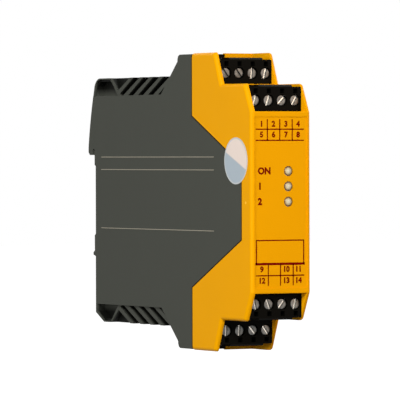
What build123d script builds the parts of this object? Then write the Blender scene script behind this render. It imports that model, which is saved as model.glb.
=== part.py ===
"""Safety relay module, 22.5 mm wide, for a 35 mm top hat rail.

Millimetres. X runs across the width, Y runs back to the rail, Z runs up.
The origin is the middle of the rail seat. Depths are measured back from the front face.
"""
from build123d import *
from math import cos, hypot, pi, sin
import os

# Poles of each plug-in terminal block
POLES = 4
POLE_PITCH = 5.0

# Terminal screw and rising clamp cage
HEAD_R = 1.75
HEAD_THICK = 1.2
HEAD_SUNK = 0.7
HEAD_CLEAR = 0.2
HEAD_SIDES = 14
SLOT_WIDE = 0.6
SLOT_DEEP = 0.6
SHANK_R = 1.15
SHANK_CLEAR = 0.1
THREAD_CLEAR = 0.05
BORE_SIDES = 8
NECK_WALL = 0.5
CAGE_HALF_H = 2.2
CAGE_FRONT = 1.0
CAGE_SIDE = 0.45
CAGE_BACK = 0.7
CAGE_TRAVEL = 2.0
CAGE_CLEAR = 0.15

# Contact strip with its socket, and the pin that enters it
STRIP_THICK = 0.45
BAR_THICK = 0.6
BAR_INSET = 0.25
SOCKET_HALF = 1.0
SOCKET_LENGTH = 3.3
SOCKET_CLEAR = 0.2
SOCKET_WALL = 0.4
PIN_SIDE = 1.0
PIN_CLEAR = 0.05
PIN_ENTRY = 0.3
FUNNEL_FLARE = 0.55
TEST_SIDE = 1.6
TEST_DEEP = 1.8
TEST_WALL = 0.35

# Plug-in terminal blocks
PLUG_GAP = 0.15
PLUG_BACK_GAP = 0.2
PLUG_WALL = 0.25
PLUG_FLOOR = 0.6
PLUG_ROOF = 1.25
PLUG_CHAMFER = 0.6
RELIEF_WIDE = 3.3
RELIEF_DROP = 0.65

# Overall size: the width follows from the poles and the walls beside them, 22.5 in all
HEIGHT = 99.0
DEPTH = 114.5
COVER_WALL = 1.5

# Rail and its seat
RAIL_HEIGHT = 35.0
RAIL_SHEET = 1.0
RAIL_PLAY = 0.1
SEAT_IN = 4.5
SEAT_RELIEF = 0.8
SEAT_PAD = 5.4
HOOK_GAP = 0.4
HOOK_REACH = 2.0
HOOK_NOSE = 1.0
HOOK_BACK_FLAT = 1.6
HOOK_BULGE = 2.2
SEAT_STEP = 0.4
NIB_SLOPE = 0.5

# Heights of the profile, each measured in from the top and from the bottom
PLUG_DROP = 6.85
FACE_DROP = 19.9
STEP_DROP = 10.6
SEAM_DROP = 20.8
SHOULDER_DROP = 0.3
SLANT_DROP = 2.6
VENT_DROP = 13.5
REAR_DROP = 7.4

# Depths of the front cover and its seam with the base
FRONT_PLUG_FACE = 3.5
LEVEL_STEP_BACK = 19.4
LEVEL_GAP = 0.65
STEP_LEDGE = 1.0
STEP_RUN = 2.6
CROWN_LEDGE = 1.8
SEAM_MARGIN = 1.8
SEAM_FRONT = 6.3
SEAM_FRONT_HALF = 12.4
SEAM_GAP = 0.12
FRONT_WALL = 1.6
EDGE_ROUND = 1.2
PANEL_INSET = 0.25
PANEL_SIDE_RIM = 1.35
PANEL_END_RIM = 1.6

# Dark base housing
BASE_WALL = 1.1
SHOULDER_WALL = 1.5
SHOULDER_LONG = 10.1
SHOULDER_ROUND = 1.6
SLANT_LONG = 11.7
EDGE_SHORT = 0.7
TURN_SHORT = 4.7
TURN_MIDDLE_SHORT = 1.5
TURN_MIDDLE_DROP = 0.9
TURN_DROP = 2.7
HEEL_RISE = 3.2
HEEL_RUN = 6.1
REAR_WALL = 1.8
CEILING = 1.5

# Vent louvres and side pockets, with their feet measured forward from the rail seat
SIDE_INSET = 0.8
LOUVRE_SHORT = 16.1
LOUVRE_PITCH = 7.2
LOUVRE_GAP = 3.65
LOUVRE_GAP_TOP = 4.6
LOUVRE_LEAN = 11.1
LOUVRE_BRIDGE = 1.4
LOUVRE_THROAT = 3.0
LOUVRE_SPARE = 0.5
POCKET_DEEP = 2.5
POCKET_RIM = 1.1
POCKET_SHORT = 15.8
POCKET_HEAD_SHORT = 11.1
POCKET_TURN = 1.6
POCKET_WALL = 0.6
VEE_DEEP = 2.2
VEE_SHORT = 18.2
VEE_SLOPE = 1.22

# Header strips behind the bays
HEADER_SIDE = 1.4
HEADER_HALF_H = 1.7
HEADER_CLEAR = 0.1
FLANGE_THICK = 2.5
FLANGE_OVER = 0.6
TAIL_FIRST = 1.2
TAIL_PITCH = 1.9
TAIL_OUT = 0.1
LEVER_LEFT = -4.6
LEVER_RIGHT = -0.4
LEVER_DEEP = 4.6
LEVER_CLEAR = 0.2
LEVER_SET = 0.5
TONGUE_ROOT = 2.0

# Circuit boards and the parts on them
BOARD_THICK = 1.2
BOARD_STANDOFF = 0.55
BOARD_CLEAR = 0.3
BOARD_FRONT = 5.0
BOARD_SHORT = 7.4
RIB_WIDE = 2.0
RIB_END_GAP = 15.0
RELAY_WIDE = 16.5
RELAY_SPARE = 2.75
RELAY_END_GAP = 8.5
RELAY_MARGIN = 2.0
RELAY_GAP = 3.0
RELAYS = 2
RELAY_EDGE = 0.8
RELAY_FOOT = 0.6
PART_GAP = 0.5
CAN_R = 5.0
CAN_SIDES = 24
CAN_LOWER = 1.8
CAN_TOP_GAP = 3.0
CAN_BETWEEN = 1.5
CANS = 2
CAN_BEVEL = 0.6
CORE_HEIGHT = -12.0
CORE_WIDE = 16.0
CORE_LONG = 19.0
CORE_LOWER = 2.8
CORE_LEG = 4.0
COIL_SPREAD = 2.2

# Indicators
LENS_X = 2.9
LENS_TOP = 10.2
LENS_PITCH = 5.0
LENSES = 3
LENS_R = 1.65
LENS_SIDES = 12
LENS_CLEAR = 0.05
LENS_NOSE = 0.45
GUIDE_LENGTH = 5.0
WEB_THICK = 1.4
WEB_MARGIN = 0.6
LED_SIDE = 2.8
LED_THICK = 1.6
LED_GAP = 0.3
SMALL_BOARD_THICK = 1.0
SMALL_BOARD_MARGIN = 2.0

# Foot latch and its spring
LATCH_SIDE = 5.25
LATCH_CLEAR = 0.2
LATCH_THICK = 3.6
LATCH_UP = 0.5
LATCH_FLANGE = 0.9
FLANGE_DEEP = 1.2
SHELF_THICK = 1.9
LIP_THICK = 1.6
LIP_RISE = 1.8
CHANNEL_WALL = 1.7
SPRING_R = 1.35
SPRING_WIRE = 0.45
SPRING_TURNS = 5
SPRING_STEPS = 10
WIRE_SIDES = 6
WINDOW_DROP = 3.0
FOOT_BAR = 4.5
LUG_THICK = 1.8
LUG_HALF_W = 1.8
LUG_ROOT = 0.5
WINDOW_HALF_W = 2.2
DRIVER_SLOT_W = 5.2
DRIVER_SLOT_D = 1.3
DRIVER_SLOT_DEEP = 3.2

# Screw, cage and contact, worked out from the values above, back from the plug's face
POLE_SPAN = (POLES - 1) * POLE_PITCH / 2
CAGE_INNER = SHANK_R + 2 * THREAD_CLEAR
CAGE_HALF_W = CAGE_INNER + CAGE_SIDE
WIRE_HALF_W = CAGE_INNER - THREAD_CLEAR
BAR_HALF_W = WIRE_HALF_W - BAR_INSET
HEAD_BACK = HEAD_SUNK + HEAD_THICK
CAVITY_FRONT = HEAD_BACK + NECK_WALL
CAGE_OPEN = CAVITY_FRONT + CAGE_TRAVEL + PLUG_GAP
BAR_FRONT = CAGE_OPEN + CAGE_FRONT + PLUG_GAP
SCREW_TIP = BAR_FRONT - THREAD_CLEAR
BAR_BACK = BAR_FRONT + BAR_THICK
WIRE_BACK = BAR_BACK + CAGE_TRAVEL + PLUG_GAP
CAGE_END = WIRE_BACK + CAGE_BACK
CAVITY_BACK = CAGE_END + CAGE_CLEAR
SOCKET_FRONT = CAVITY_BACK + SOCKET_WALL + SOCKET_CLEAR
PIN_DROP = CAGE_HALF_H + CAGE_CLEAR - SOCKET_HALF
STRIP_TOP = -PIN_DROP - SOCKET_HALF
TEST_RISE = HEAD_R + HEAD_CLEAR + TEST_WALL + TEST_SIDE / 2

# Plug and bay
PLUG_LENGTH = SOCKET_FRONT + SOCKET_LENGTH + SOCKET_CLEAR
PLUG_BELOW = -STRIP_TOP + STRIP_THICK + PIN_CLEAR + PLUG_FLOOR
PLUG_ABOVE = TEST_RISE + TEST_SIDE / 2 + PLUG_ROOF
PLUG_HALF_W = POLE_SPAN + CAGE_HALF_W + CAGE_CLEAR + PLUG_WALL
BAY_HALF = PLUG_HALF_W + PLUG_GAP
BAY_LENGTH = PLUG_LENGTH + PLUG_BACK_GAP
FLOOR_GAP = PLUG_BACK_GAP
HALF_W = BAY_HALF + COVER_WALL
WIDTH = 2 * HALF_W
HALF_H = HEIGHT / 2
BASE_INNER = HALF_W - BASE_WALL

# Levels of the profile, worked out from the overall size
SEAT_DEPTH = DEPTH - SEAT_IN
FRONT_Y = -SEAT_DEPTH
FACE_HALF = HALF_H - FACE_DROP
STEP_HALF = HALF_H - STEP_DROP
SEAM_HALF = HALF_H - SEAM_DROP
SHOULDER_HALF = HALF_H - SHOULDER_DROP
SLANT_HALF = HALF_H - SLANT_DROP
VENT_HALF = HALF_H - VENT_DROP
REAR_HALF = HALF_H - REAR_DROP
PANEL_HALF_W = HALF_W - PANEL_SIDE_RIM
PANEL_HALF_H = FACE_HALF - PANEL_END_RIM
REAR_PLUG_FACE = FRONT_PLUG_FACE + LEVEL_STEP_BACK
REAR_PLUG_AXIS = HALF_H - PLUG_DROP
FRONT_PLUG_AXIS = REAR_PLUG_AXIS - PLUG_BELOW - PLUG_ABOVE - LEVEL_GAP
REAR_BAY_WALL = REAR_PLUG_FACE + BAY_LENGTH + COVER_WALL
FRONT_BAY_WALL = FRONT_PLUG_FACE + BAY_LENGTH + COVER_WALL
REAR_BAY_UNDER = REAR_PLUG_AXIS - PLUG_BELOW - FLOOR_GAP - COVER_WALL
FRONT_BAY_UNDER = FRONT_PLUG_AXIS - PLUG_BELOW - FLOOR_GAP - COVER_WALL
STEP_FRONT = FRONT_PLUG_FACE + STEP_LEDGE
STEP_BACK = REAR_PLUG_FACE - STEP_RUN
CROWN_FRONT = REAR_PLUG_FACE + CROWN_LEDGE
SEAM_BACK = REAR_BAY_WALL + SEAM_MARGIN
SHOULDER_BACK = SEAM_BACK + SHOULDER_LONG
SLANT_FOOT = SHOULDER_BACK + SLANT_LONG
SLANT_SLOPE = SLANT_LONG / (SLANT_HALF - VENT_HALF)
SLANT_RUN = (SLANT_HALF - REAR_HALF) * SLANT_SLOPE
REAR_EDGE = SEAT_DEPTH - EDGE_SHORT
REAR_TURN = SEAT_DEPTH - TURN_SHORT

# Louvres and pockets
LOUVRE_FIRST = SEAT_DEPTH - LOUVRE_SHORT
LOUVRE_ROOM = LOUVRE_FIRST - LOUVRE_GAP + LOUVRE_SPARE - SLANT_FOOT
LOUVRES = int(LOUVRE_ROOM / LOUVRE_PITCH) + 1
POCKET_FOOT = SEAT_DEPTH - POCKET_SHORT
POCKET_HEAD = SEAT_DEPTH - POCKET_HEAD_SHORT
VEE_FOOT = SEAT_DEPTH - VEE_SHORT

# Rail hook, latch and its spring
RAIL_HALF = RAIL_HEIGHT / 2
SLOT_TOP = RAIL_HALF + RAIL_PLAY
HOOK_FRONT = SEAT_DEPTH + RAIL_SHEET + HOOK_GAP
HOOK_TIP = SLOT_TOP - HOOK_REACH
HOOK_SHOULDER = HOOK_TIP + HOOK_NOSE + HOOK_BACK_FLAT
LATCH_HALF_W = HALF_W - LATCH_SIDE
CHANNEL_BACK = REAR_EDGE - LATCH_THICK - 2 * LATCH_CLEAR
LATCH_FRONT = CHANNEL_BACK + LATCH_CLEAR
LATCH_BACK = LATCH_FRONT + LATCH_THICK
LATCH_SHELF = -RAIL_HALF - RAIL_PLAY
LATCH_FOOT = -REAR_HALF + LATCH_UP
SPRING_TOP = LATCH_SHELF - WINDOW_DROP
WINDOW_FOOT = LATCH_FOOT + FOOT_BAR
SPRING_FOOT = WINDOW_FOOT + LATCH_CLEAR + LUG_THICK

# Headers, boards and the parts on them
HEADER_HALF_W = POLE_SPAN + HEADER_SIDE
TAILS_END = FRONT_BAY_WALL + FLANGE_THICK + TAIL_FIRST + (POLES - 1) * TAIL_PITCH + PIN_SIDE / 2
BOARD_BACK_X = -(BASE_INNER - BOARD_STANDOFF)
BOARD_FACE_X = BOARD_BACK_X + BOARD_THICK
BOARD_BACK = SEAT_DEPTH - BOARD_SHORT
RIB_HALF = VENT_HALF - RIB_END_GAP
RIB_DEPTHS = (SEAM_BACK - 3.9 * RIB_WIDE, SHOULDER_BACK + RIB_WIDE, BOARD_BACK - 2 * RIB_WIDE)
RELAY_LONG = 2 * (VENT_HALF - RELAY_END_GAP)
RELAY_HIGH = BASE_INNER - BOARD_FACE_X - RELAY_SPARE
RELAY_LAST = BOARD_BACK - RELAY_MARGIN - RELAY_WIDE
CAN_DEPTH = TAILS_END + PART_GAP + CAN_R
CAN_HIGH = RELAY_HIGH - CAN_LOWER
CAN_TOP = REAR_BAY_UNDER - CAN_TOP_GAP - CAN_R
CAN_PITCH = 2 * CAN_R + CAN_BETWEEN
CORE_DEPTH = CAN_DEPTH + PART_GAP
CORE_HIGH = RELAY_HIGH - CORE_LOWER


def at(depth):
    """Y of a depth measured from the front face."""
    return FRONT_Y + depth


def block(x0, x1, d0, d1, z0, z1):
    """Box between two corners, with its depths measured from the front face."""
    middle = Pos((x0 + x1) / 2, at((d0 + d1) / 2), (z0 + z1) / 2)
    return middle * Box(x1 - x0, d1 - d0, z1 - z0)


def prism(points, x0, x1):
    """Side outline of (depth, height) points, carried across the width."""
    outline = Polyline(*[(at(d), z) for d, z in points], close=True)
    return extrude(make_face(Plane.YZ.offset(x0) * outline), x1 - x0, dir=(1, 0, 0))


def both_ends(shape):
    """The shape and its mirror image below the middle."""
    return [shape, mirror(shape, Plane.XY)]


def save(shape, name):
    """Write one named piece."""
    solids = shape.solids()
    whole = solids[0] if len(solids) == 1 else Compound(solids)
    export_step(whole, f"parts/{name}.step")


def mirrored_outline(upper):
    """Closed outline from the points above the middle, front to back."""
    return upper + [(d, -z) for d, z in reversed(upper)]


def cover_outline():
    """Outline of the cover's cheeks, stepped at the front and notched for the base behind."""
    return mirrored_outline([
        (SEAM_FRONT, SEAM_FRONT_HALF), (SEAM_BACK, SEAM_HALF), (SEAM_BACK, HALF_H),
        (CROWN_FRONT, HALF_H), (STEP_BACK, STEP_HALF), (STEP_FRONT, STEP_HALF), (0, FACE_HALF),
    ])


def front_edges(shape):
    """Edges of the stepped front boundary that the hand meets, on both sides and across."""
    limit = at(CROWN_FRONT) + 0.01
    side = [e for e in shape.edges() if abs(abs(e.center().X) - HALF_W) < 0.01]
    picked = [e for e in side if e.center().Y < limit and not on_seam(e)]
    top = [e for e in side if abs(abs(e.center().Z) - HALF_H) < 0.01]
    across = [e for e in shape.edges()
              if abs(e.center().X) < 0.01 and (on_corner(e, CROWN_FRONT, HALF_H)
                                               or on_corner(e, STEP_FRONT, STEP_HALF)
                                               or on_corner(e, 0, FACE_HALF))]
    return picked + top + across


def on_seam(edge):
    """True for an edge that lies along the seam with the base."""
    ends = [edge.position_at(0), edge.position_at(1)]
    return all(abs(p.Z) < SEAM_HALF + 0.01 and p.Y > at(SEAM_FRONT) - 0.01 for p in ends)


def on_corner(edge, depth, half):
    """True for an edge across the width at one corner of the outline."""
    middle = edge.center()
    return abs(middle.Y - at(depth)) < 0.01 and abs(abs(middle.Z) - half) < 0.01


def lens_heights():
    return [LENS_TOP - LENS_PITCH * i for i in range(LENSES)]


def sided(radius, length, sides, inside=False):
    """Bar of equal sides about Y, its corners on the radius, or its flats for a bore."""
    outline = RegularPolygon(radius, sides, major_radius=not inside, rotation=180 / sides)
    return Rot(90, 0, 0) * extrude(outline, length / 2, both=True)


def bay_levels():
    """Plug face depth and screw axis height of the rear and the front level."""
    return {"rear": (REAR_PLUG_FACE, REAR_PLUG_AXIS), "front": (FRONT_PLUG_FACE, FRONT_PLUG_AXIS)}


def header_window(face, axis, grow):
    """Opening in a bay's back wall that a header body fills."""
    back = face + BAY_LENGTH
    pin_z = axis - PIN_DROP
    half_w = HEADER_HALF_W + grow
    half_h = HEADER_HALF_H + grow
    return block(-half_w, half_w, back - 1, back + COVER_WALL + 1, pin_z - half_h, pin_z + half_h)


def front_cover():
    """Front wall, two cheeks and the stepped bay walls, moulded in one piece."""
    cover = prism(cover_outline(), -HALF_W, HALF_W)
    cover = fillet(front_edges(cover), EDGE_ROUND)
    rear_back = REAR_BAY_WALL - COVER_WALL
    front_back = FRONT_BAY_WALL - COVER_WALL
    above = HALF_H + 1
    rear_bay = block(-BAY_HALF, BAY_HALF, -1, rear_back, REAR_BAY_UNDER + COVER_WALL, above)
    front_bay = block(-BAY_HALF, BAY_HALF, -1, front_back, FRONT_BAY_UNDER + COVER_WALL, above)
    hollow = prism(mirrored_outline([
        (SEAM_BACK + 1, above), (REAR_BAY_WALL, above), (REAR_BAY_WALL, REAR_BAY_UNDER),
        (FRONT_BAY_WALL, REAR_BAY_UNDER), (FRONT_BAY_WALL, FRONT_BAY_UNDER),
        (FRONT_WALL, FRONT_BAY_UNDER),
    ]), -BAY_HALF, BAY_HALF)
    lever = block(LEVER_LEFT, LEVER_RIGHT, rear_back - 1, REAR_BAY_WALL + 1,
                  HALF_H - LEVER_DEEP, above)
    cuts = [hollow]
    for cut in (rear_bay, front_bay, lever):
        cuts += both_ends(cut)
    for face, axis in bay_levels().values():
        cuts += both_ends(header_window(face, axis, HEADER_CLEAR))
    cuts.append(block(-PANEL_HALF_W, PANEL_HALF_W, -1, PANEL_INSET, -PANEL_HALF_H, PANEL_HALF_H))
    for z in lens_heights():
        cuts.append(Pos(LENS_X, FRONT_Y, z) * sided(LENS_R + LENS_CLEAR, 2 * FRONT_WALL + 1, LENS_SIDES))
    return cover - cuts


def shoulder_points():
    """Rounded top of the shoulder and the slant down to the vented end."""
    corner = SHOULDER_ROUND * 0.3
    return [(SHOULDER_BACK - SHOULDER_ROUND, SHOULDER_HALF),
            (SHOULDER_BACK - corner, SHOULDER_HALF - corner),
            (SHOULDER_BACK, SHOULDER_HALF - SHOULDER_ROUND), (SHOULDER_BACK, SLANT_HALF),
            (SHOULDER_BACK + SLANT_RUN, REAR_HALF)]


def rail_points():
    """Hook tip, rail slot, the two seat pads with relief between, and the nib below the rail."""
    pad_end = SLOT_TOP - SEAT_PAD
    relief = SEAT_DEPTH - SEAT_RELIEF
    nib_back = SEAT_DEPTH + RAIL_SHEET
    nib_foot = LATCH_SHELF - SHELF_THICK
    return [(DEPTH, HOOK_SHOULDER), (DEPTH, HOOK_TIP + HOOK_NOSE), (DEPTH - HOOK_NOSE, HOOK_TIP),
            (HOOK_FRONT, HOOK_TIP), (HOOK_FRONT, SLOT_TOP), (SEAT_DEPTH, SLOT_TOP),
            (SEAT_DEPTH, pad_end), (relief, pad_end - SEAT_STEP),
            (relief, -pad_end + SEAT_STEP), (SEAT_DEPTH, -pad_end),
            (SEAT_DEPTH, LATCH_SHELF), (nib_back, LATCH_SHELF - NIB_SLOPE),
            (nib_back, nib_foot + NIB_SLOPE), (REAR_EDGE, nib_foot)]


def base_outline():
    """Side outline of the base: seam, shoulders, vented ends, rail hook, seat and heel."""
    seam_back = SEAM_BACK + SEAM_GAP
    seam_front = SEAM_FRONT + SEAM_GAP
    front = [(seam_front, -SEAM_FRONT_HALF), (seam_front, SEAM_FRONT_HALF), (seam_back, SEAM_HALF),
             (seam_back, SHOULDER_HALF)]
    turn_start = (REAR_TURN, REAR_HALF)
    turn_middle = (SEAT_DEPTH - TURN_MIDDLE_SHORT, REAR_HALF - TURN_MIDDLE_DROP)
    turn_end = (SEAT_DEPTH - 0.1, REAR_HALF - TURN_DROP)
    rail = rail_points()
    bulge = (SEAT_DEPTH + HOOK_BULGE, (turn_end[1] + HOOK_SHOULDER) / 2 + HOOK_BULGE)
    heel = [(REAR_EDGE, -REAR_HALF + HEEL_RISE), (REAR_EDGE - HEEL_RUN, -REAR_HALF)]
    lower = [(d, -z) for d, z in reversed(shoulder_points())]
    close = [(seam_back, -SHOULDER_HALF), (seam_back, -SEAM_HALF), front[0]]
    return Curve() + [
        line(front + shoulder_points() + [turn_start]),
        arc(turn_start, turn_middle, turn_end),
        arc(turn_end, bulge, rail[0]),
        line(rail + heel + lower + close),
    ]


def line(points):
    return Polyline(*[(at(d), z) for d, z in points])


def arc(start, middle, end):
    return ThreePointArc(*[(at(d), z) for d, z in (start, middle, end)])


def base_hollow():
    """Space inside the base, open at the front, with a thick wall where the latch runs."""
    wall = SHOULDER_WALL
    slope = hypot(SLANT_FOOT - SHOULDER_BACK, SLANT_HALF - VENT_HALF)
    shift = wall * (SLANT_FOOT - SHOULDER_BACK) / slope
    upper = [(SHOULDER_BACK - wall, SHOULDER_HALF - wall), (SHOULDER_BACK - wall, SLANT_HALF - shift + 0.4),
             (SLANT_FOOT - wall, VENT_HALF - CEILING)]
    rear = REAR_EDGE - REAR_WALL
    thick = CHANNEL_BACK - CHANNEL_WALL
    points = [(0, HALF_H + 1), (SEAM_BACK + SEAM_GAP, HALF_H + 1),
              (SEAM_BACK + SEAM_GAP, SHOULDER_HALF - wall)] + upper
    points += [(rear, VENT_HALF - CEILING), (rear, -SLOT_TOP + SEAT_PAD + 1),
               (thick, -SLOT_TOP + SEAT_PAD), (thick, -VENT_HALF + CEILING)]
    points += [(d, -z) for d, z in reversed(upper)]
    points += [(SEAM_BACK + SEAM_GAP, -SHOULDER_HALF + wall), (SEAM_BACK + SEAM_GAP, -HALF_H - 1),
               (0, -HALF_H - 1)]
    return prism(points, -BASE_INNER, BASE_INNER)


def leaning_gap(foot_back, foot_front, head_back, head_front):
    """Gap right across the vented end, leaning forward from its foot to its open head."""
    above = REAR_HALF + 1
    return prism([(foot_back, VENT_HALF), (head_back, REAR_HALF), (head_back, above),
                  (head_front, above), (head_front, REAR_HALF), (foot_front, VENT_HALF)],
                 -HALF_W - 1, HALF_W + 1)


def louvre_gaps():
    """Gaps between the tapered fins."""
    gaps = []
    for i in range(LOUVRES):
        foot = LOUVRE_FIRST - LOUVRE_PITCH * i
        head = foot - LOUVRE_LEAN
        gaps.append(leaning_gap(foot, foot - LOUVRE_GAP, head, head - LOUVRE_GAP_TOP))
    return gaps


def louvre_throats():
    """Slots that carry the gaps down through the ceiling, leaning the other way."""
    half = BASE_INNER - LOUVRE_BRIDGE
    low = VENT_HALF - LOUVRE_THROAT
    reach = LOUVRE_THROAT * LOUVRE_LEAN / (REAR_HALF - VENT_HALF)
    throats = []
    for i in range(LOUVRES):
        foot = LOUVRE_FIRST - LOUVRE_PITCH * i
        back = min(foot, VEE_FOOT)
        front = max(foot - LOUVRE_GAP, SLANT_FOOT)
        throats.append(prism([(back, VENT_HALF), (front, VENT_HALF), (front + reach, low),
                              (back + reach, low)], -half, half))
    return throats


def vent_zone():
    """Region of the end above the side walls' edge, behind the shoulder's slant."""
    over = 3.0
    return [(SHOULDER_BACK + SLANT_RUN - over * SLANT_SLOPE, REAR_HALF + over), (SLANT_FOOT, VENT_HALF),
            (DEPTH, VENT_HALF), (DEPTH, REAR_HALF + over)]


def louvre_zone():
    """Region that holds the louvres, between the slant and the backward-leaning rib."""
    over = 3.0
    rib_head = VEE_FOOT + VEE_SLOPE * (REAR_HALF + over - VENT_HALF)
    return vent_zone()[:2] + [(VEE_FOOT, VENT_HALF), (rib_head, REAR_HALF + over)]


def corner_pocket(turn_depth, turn_drop):
    """Pocket behind the rib whose far corner follows the corner of the base."""
    back = REAR_EDGE - POCKET_WALL
    return prism([(POCKET_FOOT, VENT_HALF), (POCKET_HEAD, REAR_HALF - POCKET_RIM),
                  (turn_depth, REAR_HALF - POCKET_RIM), (back, REAR_HALF - turn_drop),
                  (back, VENT_HALF)], -HALF_W - 1, HALF_W + 1)


def side_pockets():
    """Blind pockets moulded in from each side, behind the louvres and behind the rib."""
    upper = corner_pocket(REAR_TURN + POCKET_TURN, TURN_DROP)
    lower = mirror(corner_pocket(REAR_EDGE - HEEL_RUN, HEEL_RISE + POCKET_RIM), Plane.XY)
    fin_foot = LOUVRE_FIRST + LOUVRE_PITCH - LOUVRE_GAP
    fin_head = LOUVRE_FIRST - LOUVRE_LEAN + LOUVRE_PITCH - LOUVRE_GAP_TOP
    vee = leaning_gap(DEPTH, fin_foot, DEPTH, fin_head) & prism(louvre_zone(), -HALF_W - 1, HALF_W + 1)
    vees = both_ends(vee)
    cuts = []
    for shape, deep in ((upper, POCKET_DEEP), (lower, POCKET_DEEP), (vees[0], VEE_DEEP), (vees[1], VEE_DEEP)):
        side = HALF_W - SIDE_INSET - deep
        core = Pos(0, FRONT_Y / 2, 0) * Box(2 * side, 2 * DEPTH, 2 * HEIGHT)
        cuts.append(shape - core)
    return cuts


def latch_channel():
    """T-shaped channel up the back of the base for the foot latch."""
    half = LATCH_HALF_W + LATCH_CLEAR
    top = LATCH_SHELF + LATCH_CLEAR
    main = block(-half, half, CHANNEL_BACK, DEPTH, -REAR_HALF - 1, top)
    groove_half = half + LATCH_FLANGE
    groove_back = CHANNEL_BACK + FLANGE_DEEP + 2 * LATCH_CLEAR
    groove = block(-groove_half, groove_half, CHANNEL_BACK, groove_back, -REAR_HALF - 1, top)
    return [main, groove]


def base_housing():
    """Dark rear shell: side walls, shoulders, louvred ends, rail hook and latch channel."""
    body = extrude(make_face(Plane.YZ.offset(-HALF_W) * base_outline()), WIDTH, dir=(1, 0, 0))
    inset = [prism(vent_zone(), HALF_W - SIDE_INSET, HALF_W + 1),
             prism(vent_zone(), -HALF_W - 1, -HALF_W + SIDE_INSET)]
    zone = prism(louvre_zone(), -HALF_W - 2, HALF_W + 2)
    louvres = [gap & zone for gap in louvre_gaps()] + louvre_throats()
    cuts = [base_hollow()] + latch_channel() + side_pockets()
    for cut in inset + louvres:
        cuts += both_ends(cut)
    body = body - cuts
    ribs = [block(-BASE_INNER - 0.1, BOARD_BACK_X, d, d + RIB_WIDE, -RIB_HALF, RIB_HALF)
            for d in RIB_DEPTHS]
    tongue = block(LEVER_LEFT + LEVER_CLEAR, LEVER_RIGHT - LEVER_CLEAR,
                   REAR_BAY_WALL - COVER_WALL + LEVER_SET, SEAM_BACK + TONGUE_ROOT,
                   HALF_H - LEVER_DEEP + LEVER_CLEAR, SHOULDER_HALF)
    lug = block(-LUG_HALF_W, LUG_HALF_W, CHANNEL_BACK - LUG_ROOT, LATCH_BACK - 2 * LATCH_CLEAR,
                SPRING_FOOT - LUG_THICK, SPRING_FOOT)
    return body + ribs + both_ends(tongue) + [lug]


def foot_latch():
    """Sliding latch: plate with side flanges, spring window, shelf and lip under the rail."""
    foot = LATCH_FOOT
    plate = block(-LATCH_HALF_W, LATCH_HALF_W, LATCH_FRONT, LATCH_BACK, foot, LATCH_SHELF)
    wings = block(-LATCH_HALF_W - LATCH_FLANGE + LATCH_CLEAR, LATCH_HALF_W + LATCH_FLANGE - LATCH_CLEAR,
                  LATCH_FRONT, LATCH_FRONT + FLANGE_DEEP, foot + SHELF_THICK, LATCH_SHELF)
    lip_front = HOOK_FRONT
    lip_back = lip_front + LIP_THICK
    catch = prism([(LATCH_FRONT, LATCH_SHELF), (lip_front, LATCH_SHELF), (lip_front, LATCH_SHELF + LIP_RISE),
                   (lip_front + 0.5, LATCH_SHELF + LIP_RISE), (lip_back, LATCH_SHELF + 0.4),
                   (lip_back, LATCH_SHELF - 0.9), (lip_back - 1.0, LATCH_SHELF - SHELF_THICK),
                   (LATCH_FRONT, LATCH_SHELF - SHELF_THICK)], -LATCH_HALF_W, LATCH_HALF_W)
    window = block(-WINDOW_HALF_W, WINDOW_HALF_W, 0, DEPTH, WINDOW_FOOT, SPRING_TOP)
    middle = (LATCH_FRONT + LATCH_BACK) / 2
    slot = block(-DRIVER_SLOT_W / 2, DRIVER_SLOT_W / 2, middle - DRIVER_SLOT_D / 2,
                 middle + DRIVER_SLOT_D / 2, foot - 1, foot + DRIVER_SLOT_DEEP)
    return plate + wings + catch - window - slot


def latch_spring():
    """Compression spring between the base's lug and the top of the latch's window."""
    coil = SPRING_TOP - SPRING_FOOT - SPRING_WIRE
    steps = SPRING_TURNS * SPRING_STEPS
    turns = [2 * pi * i / SPRING_STEPS for i in range(steps + 1)]
    middle = at((LATCH_FRONT + LATCH_BACK) / 2)
    foot = SPRING_FOOT + SPRING_WIRE / 2
    path = Polyline(*[(SPRING_R * cos(turn), middle + SPRING_R * sin(turn), foot + coil * i / steps)
                      for i, turn in enumerate(turns)])
    section = Plane(path @ 0, z_dir=path % 0) * RegularPolygon(SPRING_WIRE / 2, WIRE_SIDES)
    return sweep(section, path, transition=Transition.RIGHT)


def pole_x():
    """Pole centres across the width, from the left."""
    return [POLE_PITCH * (i - (POLES - 1) / 2) for i in range(POLES)]


def local(x0, x1, a0, a1, h0, h1):
    """Box in a plug's own frame: across, back from its face, up from its screw axis."""
    return Pos((x0 + x1) / 2, (a0 + a1) / 2, (h0 + h1) / 2) * Box(x1 - x0, a1 - a0, h1 - h0)


def local_rod(x, a0, a1, radius):
    return Pos(x, (a0 + a1) / 2, 0) * Rot(90, 0, 0) * Cylinder(radius, a1 - a0)


def local_bore(x, a0, a1, radius, sides):
    return Pos(x, (a0 + a1) / 2, 0) * sided(radius, a1 - a0, sides, inside=True)


def wire_funnel(x):
    """Wire way down into the cage, flared at its mouth."""
    throat_front = BAR_BACK
    throat_back = WIRE_BACK
    throat = local(x - WIRE_HALF_W, x + WIRE_HALF_W, throat_front, throat_back, 0, PLUG_ABOVE)
    middle = (throat_front + throat_back) / 2
    wide = 2 * WIRE_HALF_W
    long = throat_back - throat_front
    mouth = Plane((x, middle, PLUG_ABOVE)) * Rectangle(wide + 2 * FUNNEL_FLARE, long + 2 * FUNNEL_FLARE)
    neck = Plane((x, middle, PLUG_ABOVE - 2 * FUNNEL_FLARE)) * Rectangle(wide, long)
    return [throat, loft([neck, mouth])]


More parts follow.
